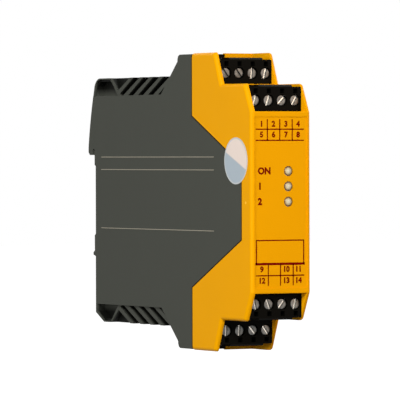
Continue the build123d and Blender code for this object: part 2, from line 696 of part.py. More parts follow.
def plug_body():
    """Moulded body of one plug, in its own frame."""
    body = local(-PLUG_HALF_W, PLUG_HALF_W, 0, PLUG_LENGTH, -PLUG_BELOW, PLUG_ABOVE)
    top_front = [e for e in body.edges().filter_by(Axis.X)
                 if e.center().Y < 0.01 and e.center().Z > 0]
    body = chamfer(top_front, PLUG_CHAMFER)
    cuts = []
    for side in (-1, 1):
        ends = sorted((side * PLUG_HALF_W + side, side * (PLUG_HALF_W - RELIEF_WIDE)))
        cuts.append(local(*ends, -1, PLUG_LENGTH + 1, PLUG_ABOVE - RELIEF_DROP, PLUG_ABOVE + 1))
    cage_half = CAGE_HALF_W + CAGE_CLEAR
    strip_half = BAR_HALF_W + PIN_CLEAR
    strip_low = STRIP_TOP - STRIP_THICK - PIN_CLEAR
    socket_half = SOCKET_HALF + SOCKET_CLEAR
    for x in pole_x():
        cuts.append(local_bore(x, -1, HEAD_BACK, HEAD_R + HEAD_CLEAR, HEAD_SIDES))
        cuts.append(local_bore(x, HEAD_BACK, CAVITY_FRONT, SHANK_R + SHANK_CLEAR, BORE_SIDES))
        cuts.append(local(x - cage_half, x + cage_half, CAVITY_FRONT, CAVITY_BACK,
                          STRIP_TOP, CAGE_HALF_H + CAGE_CLEAR))
        cuts.append(local(x - strip_half, x + strip_half, BAR_FRONT - PIN_CLEAR, PLUG_LENGTH - SOCKET_CLEAR,
                          strip_low, STRIP_TOP))
        cuts.append(local(x - socket_half, x + socket_half, SOCKET_FRONT - SOCKET_CLEAR, PLUG_LENGTH + 1,
                          STRIP_TOP, -PIN_DROP + socket_half))
        cuts.append(local(x - strip_half, x + strip_half, CAVITY_BACK - 0.1, SOCKET_FRONT,
                          strip_low, STRIP_TOP + PIN_CLEAR))
        cuts.append(local(x - TEST_SIDE / 2, x + TEST_SIDE / 2, -1, TEST_DEEP,
                          TEST_RISE - TEST_SIDE / 2, TEST_RISE + TEST_SIDE / 2))
        cuts += wire_funnel(x)
    return body - cuts


def contact_set():
    """Four contacts: bar behind the screw, strip below the cage, socket for the pin."""
    contacts = []
    for x in pole_x():
        half = BAR_HALF_W
        low = STRIP_TOP - STRIP_THICK
        bar = local(x - half, x + half, BAR_FRONT, BAR_BACK, low, CAGE_HALF_H - CAGE_CLEAR)
        strip = local(x - half, x + half, BAR_FRONT, SOCKET_FRONT + SOCKET_LENGTH, low, STRIP_TOP)
        tube = local(x - SOCKET_HALF, x + SOCKET_HALF, SOCKET_FRONT, SOCKET_FRONT + SOCKET_LENGTH,
                     STRIP_TOP, -PIN_DROP + SOCKET_HALF)
        hole_half = PIN_SIDE / 2 + PIN_CLEAR
        hole = local(x - hole_half, x + hole_half, SOCKET_FRONT - 1, PLUG_LENGTH + 1,
                     -PIN_DROP - hole_half, -PIN_DROP + hole_half)
        contacts.append(bar + strip + tube - hole)
    return contacts


def terminal_screw(x, slot_angle):
    """Slotted cheese-head screw whose plain shank stands for its thread."""
    head = Pos(x, (HEAD_SUNK + HEAD_BACK) / 2, 0) * sided(HEAD_R, HEAD_THICK, HEAD_SIDES)
    shank = local_rod(x, HEAD_BACK, SCREW_TIP, SHANK_R)
    cut = Pos(x, HEAD_SUNK, 0) * Rot(0, slot_angle, 0) * Box(SLOT_WIDE, 2 * SLOT_DEEP, 4 * HEAD_R)
    return head + shank - cut


def clamp_cage(x):
    """Folded clamp cage, open from top to bottom, with the screw's hole in its front."""
    shell = local(x - CAGE_HALF_W, x + CAGE_HALF_W, CAGE_OPEN, CAGE_END, -CAGE_HALF_H, CAGE_HALF_H)
    way = local(x - CAGE_INNER, x + CAGE_INNER, CAGE_OPEN + CAGE_FRONT, WIRE_BACK,
                -CAGE_HALF_H - 1, CAGE_HALF_H + 1)
    hole = local_bore(x, CAGE_OPEN - 1, CAGE_OPEN + CAGE_FRONT + 1, SHANK_R + THREAD_CLEAR, BORE_SIDES)
    return shell - way - hole


# Slot angle of each terminal screw as it stands, in degrees from upright, from the left
SLOT_ANGLES = {
    "top_rear": (-35, -35, 5, 15), "top_front": (15, 18, 45, 30),
    "bottom_front": (-12, -20, 40, 15), "bottom_rear": (0, 3, -40, -35),
}


def plug_place(name):
    """Where a plug's frame sits: the lower ones are the same plug turned half round."""
    end, level = name.split("_")
    face, axis = bay_levels()[level]
    up = end == "top"
    return Pos(0, at(face), axis if up else -axis) * (Rot(0, 0, 0) if up else Rot(0, 180, 0)), up


def header_body(face, axis):
    """Header moulding: a bar that fills the bay wall's window and a flange behind it."""
    back = face + BAY_LENGTH
    pin_z = axis - PIN_DROP
    behind = back + COVER_WALL
    end = behind + FLANGE_THICK
    half_w = HEADER_HALF_W
    half_h = HEADER_HALF_H
    bar = block(-half_w, half_w, back, behind, pin_z - half_h, pin_z + half_h)
    half_w += FLANGE_OVER
    half_h += FLANGE_OVER
    flange = block(-half_w, half_w, behind, end, pin_z - half_h, pin_z + half_h)
    half = PIN_SIDE / 2
    holes = [block(x - half, x + half, back - 1, end + 1, pin_z - half, pin_z + half) for x in pole_x()]
    return bar + flange - holes


def header_pins(face, axis):
    """Four square pins, each bent sideways behind the header into its own row on the board."""
    back = face + BAY_LENGTH
    tip = face + SOCKET_FRONT + PIN_ENTRY
    pin_z = axis - PIN_DROP
    half = PIN_SIDE / 2
    pins = []
    for i, x in enumerate(pole_x()):
        bend = back + COVER_WALL + FLANGE_THICK + TAIL_FIRST + TAIL_PITCH * i
        along = block(x - half, x + half, tip, bend + half, pin_z - half, pin_z + half)
        tail = block(BOARD_BACK_X - TAIL_OUT, x - half, bend - half, bend + half, pin_z - half, pin_z + half)
        pins.append(along + tail)
    return pins


def main_board():
    """Circuit board along the left wall, stepped behind the bays and drilled for the tails."""
    clear = BOARD_CLEAR
    behind_rear = REAR_BAY_WALL + FLANGE_THICK + clear
    behind_front = behind_rear - LEVEL_STEP_BACK
    slant_gap = SHOULDER_WALL + 1.1
    top = VENT_HALF - CEILING - 2 * clear
    upper = [(BOARD_FRONT, FRONT_BAY_UNDER - clear), (behind_front, FRONT_BAY_UNDER - clear),
             (behind_front, REAR_BAY_UNDER - clear), (behind_rear, REAR_BAY_UNDER - clear),
             (behind_rear, SLANT_HALF - slant_gap), (SHOULDER_BACK - slant_gap, SLANT_HALF - slant_gap),
             (SLANT_FOOT - slant_gap, top), (BOARD_BACK, top)]
    board = prism(mirrored_outline(upper), BOARD_BACK_X, BOARD_FACE_X)
    half = PIN_SIDE / 2
    holes = []
    for face, axis in bay_levels().values():
        for i in range(POLES):
            bend = face + BAY_LENGTH + COVER_WALL + FLANGE_THICK + TAIL_FIRST + TAIL_PITCH * i
            pin_z = axis - PIN_DROP
            hole = block(BOARD_BACK_X - 1, BOARD_FACE_X + 1, bend - half, bend + half,
                         pin_z - half, pin_z + half)
            holes += both_ends(hole)
    return board - holes


def relay_block(front):
    """Sealed relay with guided contacts, on a low foot."""
    x0 = BOARD_FACE_X
    half = RELAY_LONG / 2
    foot = block(x0, x0 + RELAY_FOOT, front + 1, front + RELAY_WIDE - 1, -half + 1, half - 1)
    case = block(x0 + RELAY_FOOT, x0 + RELAY_HIGH, front, front + RELAY_WIDE, -half, half)
    far = [e for e in case.edges() if abs(e.center().X - x0 - RELAY_HIGH) < 0.01]
    return chamfer(far, RELAY_EDGE) + foot


def capacitors():
    """Two round capacitor cans standing on the board."""
    cans = []
    for i in range(CANS):
        place = Pos(BOARD_FACE_X, at(CAN_DEPTH), CAN_TOP - CAN_PITCH * i) * Rot(0, 90, 0)
        can = extrude(place * RegularPolygon(CAN_R, CAN_SIDES), CAN_HIGH)
        rim = can.edges().group_by(Axis.X)[-1]
        cans.append(chamfer(rim, CAN_BEVEL))
    return cans


def transformer():
    """Small ferrite transformer: E-shaped core with its wound bobbin."""
    x0 = BOARD_FACE_X
    d0 = CORE_DEPTH - CORE_WIDE / 2
    z0 = CORE_HEIGHT - CORE_LONG / 2
    core = block(x0 + 1, x0 + CORE_HIGH, d0, d0 + CORE_WIDE, z0, z0 + CORE_LONG)
    bay = block(x0, x0 + CORE_HIGH + 1, d0 - 1, d0 + CORE_WIDE + 1, z0 + CORE_LEG, z0 + CORE_LONG - CORE_LEG)
    bobbin = block(x0, x0 + CORE_HIGH - 1, d0 - COIL_SPREAD, d0 + CORE_WIDE + COIL_SPREAD,
                   z0 + CORE_LEG, z0 + CORE_LONG - CORE_LEG)
    long_edges = bobbin.edges().filter_by(Axis.Z)
    return core - bay + fillet(long_edges, COIL_SPREAD - 0.4)


def light_guide():
    """Clear moulding: three lens rods joined by a web behind the front wall."""
    rods = []
    length = FRONT_WALL + GUIDE_LENGTH - PANEL_INSET + LENS_NOSE
    middle = at(PANEL_INSET - LENS_NOSE + length / 2)
    for z in lens_heights():
        stem = Pos(LENS_X, middle, z) * sided(LENS_R, length, LENS_SIDES)
        rods.append(chamfer(stem.edges().group_by(Axis.Y)[0], LENS_NOSE))
    margin = LENS_R + WEB_MARGIN
    web = block(LENS_X - margin, LENS_X + margin, FRONT_WALL, FRONT_WALL + WEB_THICK,
                lens_heights()[-1] - margin, LENS_TOP + margin)
    return web + rods


def indicator_board():
    """Small upright board that carries the indicator lamps, soldered to the main board."""
    front = FRONT_WALL + GUIDE_LENGTH + LED_GAP + LED_THICK
    margin = LENS_R + SMALL_BOARD_MARGIN
    return block(BOARD_FACE_X, LENS_X + margin, front, front + SMALL_BOARD_THICK,
                 lens_heights()[-1] - margin, LENS_TOP + margin)


def indicator_leds():
    """Three surface-mounted lamps, one behind each lens rod."""
    front = FRONT_WALL + GUIDE_LENGTH + LED_GAP
    half = LED_SIDE / 2
    return [block(LENS_X - half, LENS_X + half, front, front + LED_THICK, z - half, z + half)
            for z in lens_heights()]


def build():
    """Write every piece, one file each."""
    os.makedirs("parts", exist_ok=True)
    save(front_cover(), "front_cover")
    save(base_housing(), "base_housing")
    save(foot_latch(), "foot_latch")
    save(latch_spring(), "latch_spring")
    body = plug_body()
    contacts = Compound(contact_set())
    for name, angles in SLOT_ANGLES.items():
        place, up = plug_place(name)
        save(place * body, f"plug_{name}")
        save(place * contacts, f"contacts_{name}")
        for i, x in enumerate(pole_x()):
            own_x = x if up else -x
            own_angle = angles[i % len(angles)]
            save(place * terminal_screw(own_x, own_angle), f"screw_{name}_{i + 1}")
            save(place * clamp_cage(own_x), f"cage_{name}_{i + 1}")
    for level, (face, axis) in bay_levels().items():
        body_top = header_body(face, axis)
        pins_top = Compound(header_pins(face, axis))
        save(body_top, f"header_top_{level}")
        save(mirror(body_top, Plane.XY), f"header_bottom_{level}")
        save(pins_top, f"pins_top_{level}")
        save(mirror(pins_top, Plane.XY), f"pins_bottom_{level}")
    save(main_board(), "main_board")
    for i in range(RELAYS):
        front = RELAY_LAST - (RELAYS - 1 - i) * (RELAY_WIDE + RELAY_GAP)
        save(relay_block(front), f"relay_{i + 1}")
    save(Compound(capacitors()), "capacitors")
    save(transformer(), "transformer")
    save(light_guide(), "light_guide")
    save(indicator_board(), "indicator_board")
    save(Compound(indicator_leds()), "indicator_leds")


build()
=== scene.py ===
"""Safety relay module on its own, seen from the front left, in metres and in the frame of the solids."""

import bmesh
import bpy
import numpy as np
from mathutils import Matrix, Vector


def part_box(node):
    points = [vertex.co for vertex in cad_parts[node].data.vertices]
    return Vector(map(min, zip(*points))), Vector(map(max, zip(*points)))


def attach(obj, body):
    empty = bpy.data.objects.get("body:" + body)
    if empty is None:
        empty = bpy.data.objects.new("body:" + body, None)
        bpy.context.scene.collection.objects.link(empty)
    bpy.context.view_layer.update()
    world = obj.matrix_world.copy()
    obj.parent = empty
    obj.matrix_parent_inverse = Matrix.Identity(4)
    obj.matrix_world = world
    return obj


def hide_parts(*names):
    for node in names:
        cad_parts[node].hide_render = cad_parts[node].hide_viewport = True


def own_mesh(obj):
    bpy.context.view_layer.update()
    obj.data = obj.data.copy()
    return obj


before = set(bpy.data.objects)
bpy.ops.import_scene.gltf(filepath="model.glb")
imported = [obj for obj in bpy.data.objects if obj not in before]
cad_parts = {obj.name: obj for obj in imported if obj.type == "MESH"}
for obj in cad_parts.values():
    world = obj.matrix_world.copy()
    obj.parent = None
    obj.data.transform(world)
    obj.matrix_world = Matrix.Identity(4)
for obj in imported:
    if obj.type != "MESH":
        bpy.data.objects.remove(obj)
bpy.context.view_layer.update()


# Front cover: the yellow front wall and its two cheeks, injection moulded in one piece.
# The mould leaves a fine spark-eroded grain, and the colour drifts a little over the part.

MM = 0.001
COVER_COLOUR = (221, 151, 0)
GRAIN_SIZE = 5000.0
GRAIN_DEPTH = 0.15
GRAIN_HIGH = 0.02 * MM
DRIFT_SIZE = 60.0
DRIFT_ENDS = (0.3, 0.7)
DRIFT_SHADES = (0.985, 1.01)


def linear(red, green, blue):
    """Screen colour of 0 to 255 as the light values that shaders use."""
    parts = np.array([red, green, blue], float) / 255
    curve = np.where(parts <= 0.04045, parts / 12.92, ((parts + 0.055) / 1.055) ** 2.4)
    return (*curve.tolist(), 1.0)


def feed(tree, entry, value):
    """Link a socket to a node's input, or set a plain value on it."""
    if isinstance(value, bpy.types.NodeSocket):
        tree.links.new(value, entry)
    else:
        entry.default_value = value


def new_node(tree, kind, values, **settings):
    """Shader node of a kind, with its settings, and with a value for each input of that name or number."""
    node = tree.nodes.new(kind)
    for name, value in settings.items():
        setattr(node, name, value)
    for name, value in values.items():
        feed(tree, node.inputs[name], value)
    return node


def object_place(tree):
    """Point of the surface in the object's own frame."""
    return new_node(tree, "ShaderNodeTexCoord", {}).outputs["Object"]


def noise(tree, place, scale, detail):
    """Soft noise between 0 and 1."""
    values = {"Vector": place, "Scale": scale, "Detail": detail}
    return new_node(tree, "ShaderNodeTexNoise", values).outputs["Fac"]


def bump(tree, height, distance, strength):
    """Normal that shows a height of 0 to 1 as a relief of some distance."""
    values = {"Height": height, "Distance": distance, "Strength": strength}
    return new_node(tree, "ShaderNodeBump", values).outputs["Normal"]


def ranged(tree, value, start, end, low=0.0, high=1.0):
    """Value carried straight from start and end to low and high, and held beyond them."""
    values = {"Value": value, "From Min": start, "From Max": end, "To Min": low, "To Max": high}
    return new_node(tree, "ShaderNodeMapRange", values).outputs["Result"]


def number_math(tree, kind, *values):
    """Result of one sum on numbers."""
    return new_node(tree, "ShaderNodeMath", dict(enumerate(values)), operation=kind).outputs["Value"]


def shaded(tree, colour, share):
    """Colour times a share."""
    values = {0: colour, "Scale": share}
    return new_node(tree, "ShaderNodeVectorMath", values, operation="SCALE").outputs["Vector"]


def new_group(name, inputs, outputs):
    """Shader node group with named inputs and outputs, each of a kind."""
    group = bpy.data.node_groups.new(name, "ShaderNodeTree")
    for way, sockets in (("INPUT", inputs), ("OUTPUT", outputs)):
        for label, kind in sockets.items():
            group.interface.new_socket(name=label, in_out=way, socket_type=f"NodeSocket{kind}")
    return group


def moulded_grain_group():
    """Moulded plastic: fine grain as a normal, with a slow drift of colour and of roughness."""
    group = new_group("moulded_grain",
                      {"Color": "Color", "Grain size": "Float", "Grain depth": "Float", "Roughness": "Float"},
                      {"Color": "Color", "Roughness": "Float", "Normal": "Vector"})
    given = group.nodes.new("NodeGroupInput").outputs
    result = group.nodes.new("NodeGroupOutput").inputs
    place = object_place(group)
    grain = noise(group, place, given["Grain size"], detail=3.0)
    drift = ranged(group, noise(group, place, DRIFT_SIZE, detail=4.0), *DRIFT_ENDS, *DRIFT_SHADES)
    feed(group, result["Color"], shaded(group, given["Color"], drift))
    feed(group, result["Roughness"], number_math(group, "MULTIPLY", given["Roughness"], drift))
    feed(group, result["Normal"], bump(group, grain, GRAIN_HIGH, given["Grain depth"]))
    return group


GRAIN = moulded_grain_group()


def new_material(name):
    """Empty material, its shader tree and its shader."""
    material = bpy.data.materials.new(name)
    material.use_nodes = True
    return material, material.node_tree, material.node_tree.nodes["Principled BSDF"]


def moulded_plastic(name, colour, roughness, gloss=0.03):
    """Moulded plastic of one colour, with the grain group between the colour and the shader."""
    material, tree, shader = new_material(name)
    values = {"Color": linear(*colour), "Grain size": GRAIN_SIZE, "Grain depth": GRAIN_DEPTH,
              "Roughness": roughness}
    grain = new_node(tree, "ShaderNodeGroup", values, node_tree=GRAIN)
    feed(tree, shader.inputs["Base Color"], grain.outputs["Color"])
    feed(tree, shader.inputs["Roughness"], grain.outputs["Roughness"])
    feed(tree, shader.inputs["Normal"], grain.outputs["Normal"])
    shader.inputs["Specular IOR Level"].default_value = gloss
    return material


def finish_node(node, material):
    """Give a solid its finish in every material slot."""
    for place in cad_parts[node].material_slots:
        place.material = material


finish_node("front_cover", moulded_plastic("cover_yellow", COVER_COLOUR, roughness=0.42))


# Gate mark: the pale scar on the left cheek where the moulding was broken from its runner.
# It is a low round stub of the cover's own plastic, whitened where it tore.

COVER_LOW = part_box("front_cover")[0]
FRONT_Y = COVER_LOW.y
GATE_COLOUR = (246, 186, 66)
GATE_DEPTH = 3.7 * MM
GATE_HEIGHT = -0.1 * MM
GATE_R = 0.45 * MM
GATE_THICK = 0.04 * MM
GATE_STEPS = 20


def closed_shells(shells):
    """Corners and faces of closed shells. Each shell is an array of rings of points: quads join each
    ring to the next and run round it, and a flat face closes the first and the last ring."""
    corners, faces, start = [], [], 0
    for rings in shells:
        count, around = rings.shape[:2]
        index = start + np.arange(count * around).reshape(count, around)
        after = np.roll(index, -1, axis=1)
        quads = np.stack([index[:-1], after[:-1], after[1:], index[1:]], axis=-1)
        faces += quads.reshape(-1, 4).tolist() + [index[0][::-1].tolist(), index[-1].tolist()]
        corners.append(rings.reshape(-1, 3))
        start += count * around
    return np.concatenate(corners), faces


def new_piece(name, corners, faces, material, body, slot, crease=None):
    """Object from corners and faces that rides on a body. Edges sharper than crease degrees stay sharp."""
    mesh = bpy.data.meshes.new(name)
    mesh.from_pydata(corners.tolist(), [], faces)
    work = bmesh.new()
    work.from_mesh(mesh)
    bmesh.ops.recalc_face_normals(work, faces=work.faces)
    work.to_mesh(mesh)
    work.free()
    if crease is not None:
        mesh.polygons.foreach_set("use_smooth", np.ones(len(mesh.polygons), bool))
        mesh.set_sharp_from_angle(angle=np.radians(crease))
    mesh.materials.append(material)
    piece = bpy.data.objects.new(name, mesh)
    bpy.context.collection.objects.link(piece)
    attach(piece, body)
    return piece


def circle(steps):
    """Cosines and sines of even steps round a circle."""
    turn = np.linspace(0, 2 * np.pi, steps, endpoint=False)
    return np.cos(turn), np.sin(turn)


def side_disc(x, depth, height, profile, steps):
    """Low disc on the left side, as a shell. For each radius r and lift of its profile it has a ring at
    x - lift, with its points at depth + r cos t and height - r sin t."""
    across, up = circle(steps)
    return np.array([np.stack([np.full(steps, x - lift), FRONT_Y + depth + radius * across,
                               height - radius * up], axis=1) for radius, lift in profile])


gate_profile = ((GATE_R, 0), (GATE_R / 2, GATE_THICK))
gate = side_disc(COVER_LOW.x, GATE_DEPTH, GATE_HEIGHT, gate_profile, GATE_STEPS)
new_piece("gate_mark", *closed_shells([gate]), moulded_plastic("gate_scar", GATE_COLOUR, roughness=0.6),
          "housing", "yellow_plastic")


# Print on the front: two terminal tables, a marker field and plain labels beside the lenses.
# The dark red-brown ink is pad printed straight on the set-back panel. Places on it are in millimetres.

INK_COLOUR = (112, 8, 0)
INK_THICK = 0.02 * MM
PANEL_Y = FRONT_Y + 0.25 * MM
LINE_WIDE = 0.4
TABLE_EDGES = (-9.2, 8.6)
TABLE_REACH = 27.0
TOP_TABLE_COLUMNS = (-5.02, -0.35, 4.37)
TOP_TABLE_LINES = (20.3, 23.93)
BOTTOM_TABLE_COLUMNS = (-4.78, -0.18, 4.62)
BOTTOM_TABLE_LINE = -23.9
BOTTOM_TABLE_HEAD = -20.3
MARKER_LOW = -20.1
MARKER_HIGH = -12.4
CELL_CENTRES = (-7.2, -2.7, 2.0, 6.6)
CELL_ROWS = ((25.6, (1, 2, 3, 4)), (22.1, (5, 6, 7, 8)),
             (-21.9, (9, None, 10, 11)), (-25.6, (12, None, 13, 14)))
NUMBER_HIGH = 1.75
LENS_LABELS = ("ON", "1", "2")
LENS_HEIGHTS = (10.2, 5.2, 0.2)
LABEL_LEFT = -8.6
LABEL_HIGH = 2.1
CAPITAL_SHARE = 0.7
LETTER_BOLD = 0.05


def bar(x0, x1, y0, y1, z0, z1):
    """Straight bar as a shell: its rectangle in X and Z, carried from y0 to y1."""
    outline = np.array([(x0, z0), (x0, z1), (x1, z1), (x1, z0)])
    return np.array([[(x, y, z) for x, z in outline] for y in (y0, y1)])


def front_line(x0, z0, x1, z1, wide=LINE_WIDE):
    """Printed line on the panel, level or upright, from its lower or left end to its other end."""
    half = wide / 2
    return bar((x0 - half) * MM, (x1 + half) * MM, PANEL_Y - INK_THICK, PANEL_Y,
               (z0 - half) * MM, (z1 + half) * MM)


def lettering(text, x, z, high, align="CENTER"):
    """Corners and faces of a word or number on the panel: a flat text turned upright to face the front."""
    curve = bpy.data.curves.new("lettering", "FONT")
    curve.body = text
    curve.size = high * MM / CAPITAL_SHARE
    curve.align_x = align
    curve.align_y = "CENTER"
    curve.offset = LETTER_BOLD * curve.size
    curve.extrude = INK_THICK / 2
    curve.resolution_u = 3
    holder = bpy.data.objects.new("lettering", curve)
    bpy.context.collection.objects.link(holder)
    bpy.context.view_layer.update()
    mesh = bpy.data.meshes.new_from_object(holder.evaluated_get(bpy.context.evaluated_depsgraph_get()))
    flat = np.empty(len(mesh.vertices) * 3)
    mesh.vertices.foreach_get("co", flat)
    across, up, lift = flat.reshape(-1, 3).T
    corners = np.stack([across + x * MM, PANEL_Y - INK_THICK / 2 - lift, up + z * MM], axis=1)
    faces = [list(face.vertices) for face in mesh.polygons]
    bpy.data.objects.remove(holder)
    return corners, faces


def joined(parts):
    """Corners and faces of several parts as one."""
    corners, faces, start = [], [], 0
    for own_corners, own_faces in parts:
        corners.append(own_corners)
        faces += [[index + start for index in face] for face in own_faces]
        start += len(own_corners)
    return np.concatenate(corners), faces


left, right = TABLE_EDGES
front_lines = [front_line(x, TOP_TABLE_LINES[0], x, TABLE_REACH) for x in TOP_TABLE_COLUMNS]
front_lines += [front_line(x, -TABLE_REACH, x, BOTTOM_TABLE_HEAD) for x in BOTTOM_TABLE_COLUMNS]
front_lines += [front_line(x, MARKER_LOW, x, MARKER_HIGH) for x in TABLE_EDGES]
front_lines += [front_line(left, z, right, z) for z in (*TOP_TABLE_LINES, BOTTOM_TABLE_LINE, MARKER_HIGH)]
front_lines.append(front_line(left, MARKER_LOW, right, MARKER_LOW, 2 * LINE_WIDE))
words = [lettering(str(number), x, z, NUMBER_HIGH)
         for z, numbers in CELL_ROWS for x, number in zip(CELL_CENTRES, numbers) if number]
words += [lettering(label, LABEL_LEFT, z, LABEL_HIGH, "LEFT") for label, z in zip(LENS_LABELS, LENS_HEIGHTS)]
new_piece("front_print", *joined([closed_shells(front_lines)] + words),
          moulded_plastic("front_ink", INK_COLOUR, roughness=0.55), "housing", "yellow_plastic")


# Base housing: the dark grey rear shell, moulded with louvres, rail hook and latch channel.
# Its flat sides carry the same fine grain as the cover and, on the left, thin pale printed lines.

HOUSING_COLOUR = (64, 65, 60)
SIDE_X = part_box("base_housing")[0].x
SIDE_INK_COLOUR = (150, 143, 130)
SIDE_LINE_HEIGHTS = (14.9 * MM, 10.6 * MM, -9.6 * MM)
SIDE_LINE_FRONT = FRONT_Y + 25.0 * MM
SIDE_LINE_BACK = FRONT_Y + 105.0 * MM
SIDE_LINE_HALF = 0.11 * MM

# Painted shade of the vented ends: their colour is darkened between the fins and in the corner pockets, where
# shade falls.
# Each pair says where it begins and where it is full: across, behind the sloped foot of the louvres, behind
# the sloped rib, toward the outer end of a pocket, and below the wall.
RECESS_SHADE = 0.9
LOUVRE_X = (10.35 * MM, 9.5 * MM)
POCKET_X = (11.0 * MM, 10.5 * MM)
VENT_HALF = 36.0 * MM
VENT_SLOPE = 1.0734
VENT_FOOT = (FRONT_Y + 61.8 * MM, FRONT_Y + 62.2 * MM)
RIB_SLOPE = 0.94
RIB_FOOT = (FRONT_Y + 94.4 * MM, FRONT_Y + 94.6 * MM)
POCKET_END = (36.3 * MM, 38.6 * MM)
WALL_FOOT = (42.05 * MM, 41.9 * MM)


def vector_math(tree, kind, *values, output="Vector"):
    """Result of one sum on vectors."""
    return new_node(tree, "ShaderNodeVectorMath", dict(enumerate(values)), operation=kind).outputs[output]


def split_vector(tree, vector):
    """X, Y and Z of a vector, by name."""
    return new_node(tree, "ShaderNodeSeparateXYZ", {"Vector": vector}).outputs


def product(tree, first, *others):
    """All the numbers multiplied."""
    for other in others:
        first = number_math(tree, "MULTIPLY", first, other)
    return first


def recess_group():
    """Mask of painted shade for the vented ends, 0 to 1: it stands in for the shade of the real ends, which
    are open to the dark inside. It is 1 between the fins, and in the corner pockets it grows toward the outer
    end."""
    group = new_group("recess_painted_shade", {}, {"Depth": "Float"})
    place = object_place(group)
    back = split_vector(group, place)["Y"]
    away = split_vector(group, vector_math(group, "ABSOLUTE", place))
    above = number_math(group, "SUBTRACT", away["Z"], VENT_HALF)
    behind = ranged(group, number_math(group, "ADD", product(group, above, VENT_SLOPE), back), *VENT_FOOT)
    under = ranged(group, away["Z"], *WALL_FOOT)
    corner = ranged(group, number_math(group, "SUBTRACT", back, product(group, above, RIB_SLOPE)), *RIB_FOOT)
    outer = ranged(group, away["Z"], *POCKET_END)
    pocket = product(group, outer, corner, ranged(group, away["X"], *POCKET_X))
    beside_corner = number_math(group, "SUBTRACT", 1.0, corner)
    louvre = product(group, beside_corner, ranged(group, away["X"], *LOUVRE_X))
    depth = product(group, number_math(group, "MAXIMUM", pocket, louvre), product(group, behind, under))
    feed(group, group.nodes.new("NodeGroupOutput").inputs["Depth"], depth)
    return group


def darken_recesses(material, shade):
    """Painted shade: multiply the material's colour by 1 - shade * depth."""
    tree = material.node_tree
    entry = tree.nodes["Principled BSDF"].inputs["Base Color"]
    depth = new_node(tree, "ShaderNodeGroup", {}, node_tree=recess_group()).outputs["Depth"]
    keep = ranged(tree, depth, 0.0, 1.0, 1.0, 1.0 - shade)
    feed(tree, entry, shaded(tree, entry.links[0].from_socket, keep))


housing_grey = moulded_plastic("housing_grey", HOUSING_COLOUR, roughness=0.5)
# Painted shade: the housing's colour is darkened in its vented ends, where shade falls.
darken_recesses(housing_grey, RECESS_SHADE)
finish_node("base_housing", housing_grey)
side_lines = [bar(SIDE_X - INK_THICK, SIDE_X, SIDE_LINE_FRONT, SIDE_LINE_BACK, z - SIDE_LINE_HALF,
                  z + SIDE_LINE_HALF) for z in SIDE_LINE_HEIGHTS]
side_ink = moulded_plastic("side_ink", SIDE_INK_COLOUR, roughness=0.6)
new_piece("side_print", *closed_shells(side_lines), side_ink, "housing", "dark_plastic")


# Rims of the rear corners: where the ends are set in for the louvres, a thin rim of the housing's own
# plastic stays level with the side, round the corner from the rib to the back edge.
# Each path gives depth and height in millimetres.

RIM_INNER_X = -10.4 * MM
RIM_WIDE = 0.45
REAR_RIM_WIDE = 1.0
REAR_FOOT = (110.83, 36.0)
REAR_TURN = ((109.9, 39.4), (108.5, 41.2), (105.3, 42.1))
TURN_STEPS = 14
RIM_HEAD = (99.3, 42.1)
HEEL = ((109.3, -36.0), (109.3, -38.9), (103.2, -42.1), (99.3, -42.1))
HEEL_WIDE = (-REAR_RIM_WIDE, -REAR_RIM_WIDE, -RIM_WIDE, -RIM_WIDE)


def three_point_arc(start, middle, end, steps):
    """Points on the circle through three points: centre + radius * (cos t, sin t)."""
    a, b, c = (np.array(point) for point in (start, middle, end))
    centre = np.linalg.solve(2 * np.array([b - a, c - a]), [b @ b - a @ a, c @ c - a @ a])
    first, last = (np.arctan2(*(point - centre)[::-1]) for point in (a, c))
    turn = np.linspace(first, last, steps)
    return centre + np.hypot(*(a - centre)) * np.stack([np.cos(turn), np.sin(turn)], axis=1)


def beside(path, wide):
    """Path moved sideways by a width at each point, square to the mean run of the two pieces that meet."""
    run = np.diff(path, axis=0)
    run /= np.hypot(*run.T)[:, None]
    out = np.stack([-run[:, 1], run[:, 0]], axis=1)
    mean = np.concatenate([out[:1], out[:-1] + out[1:], out[-1:]])
    mean /= np.hypot(*mean.T)[:, None]
    square = np.concatenate([out[:1], out])
    return path + mean * (np.asarray(wide) / np.sum(mean * square, axis=1))[:, None]


def flat_band(path, wide, x0, x1):
    """Band on the side of the module: a path in depth and height, its width beside it, carried in X."""
    edge = beside(path, wide)
    rings = [np.stack([np.full(len(path), x), FRONT_Y + line[:, 0] * MM, line[:, 1] * MM], axis=1)
             for x, line in ((x0, path), (x1, path), (x1, edge), (x0, edge))]
    return np.stack(rings, axis=1)


def both_sides(shells):
    """Shells and their mirror images on the module's other side."""
    return shells + [rings * (-1, 1, 1) for rings in shells]


upper_rim = np.concatenate([[REAR_FOOT], three_point_arc(*REAR_TURN, TURN_STEPS), [RIM_HEAD]])
upper_wide = np.interp(upper_rim[:, 1], [REAR_TURN[0][1], REAR_TURN[1][1]], [REAR_RIM_WIDE, RIM_WIDE])
rims = [flat_band(upper_rim, upper_wide, SIDE_X, RIM_INNER_X),
        flat_band(np.array(HEEL), HEEL_WIDE, SIDE_X, RIM_INNER_X)]
new_piece("corner_rims", *closed_shells(both_sides(rims)), housing_grey, "housing", "dark_plastic")


# Seam between the cover and the housing: the joint of the two mouldings, a narrow dark line on both sides.
# It is drawn as a hair-thin strip along the housing's edge, by depths and heights in millimetres.

SEAM_COLOUR = (22, 18, 10)
SEAM_PATH = ((39.8, 49.2), (39.8, 28.7), (6.3, 12.4), (6.3, -12.4), (39.8, -28.7), (39.8, -49.2))
SEAM_WIDE = 0.42

seam = flat_band(np.array(SEAM_PATH), SEAM_WIDE, SIDE_X - INK_THICK, SIDE_X)
seam_dark = moulded_plastic("seam_dark", SEAM_COLOUR, roughness=0.8)
new_piece("seam_line", *closed_shells(both_sides([seam])), seam_dark, "housing", "dark_plastic")


# Round test sticker: a film disc stuck over the seam on the left side, pale above and blue-grey below.
# A plain pale rim runs round it.

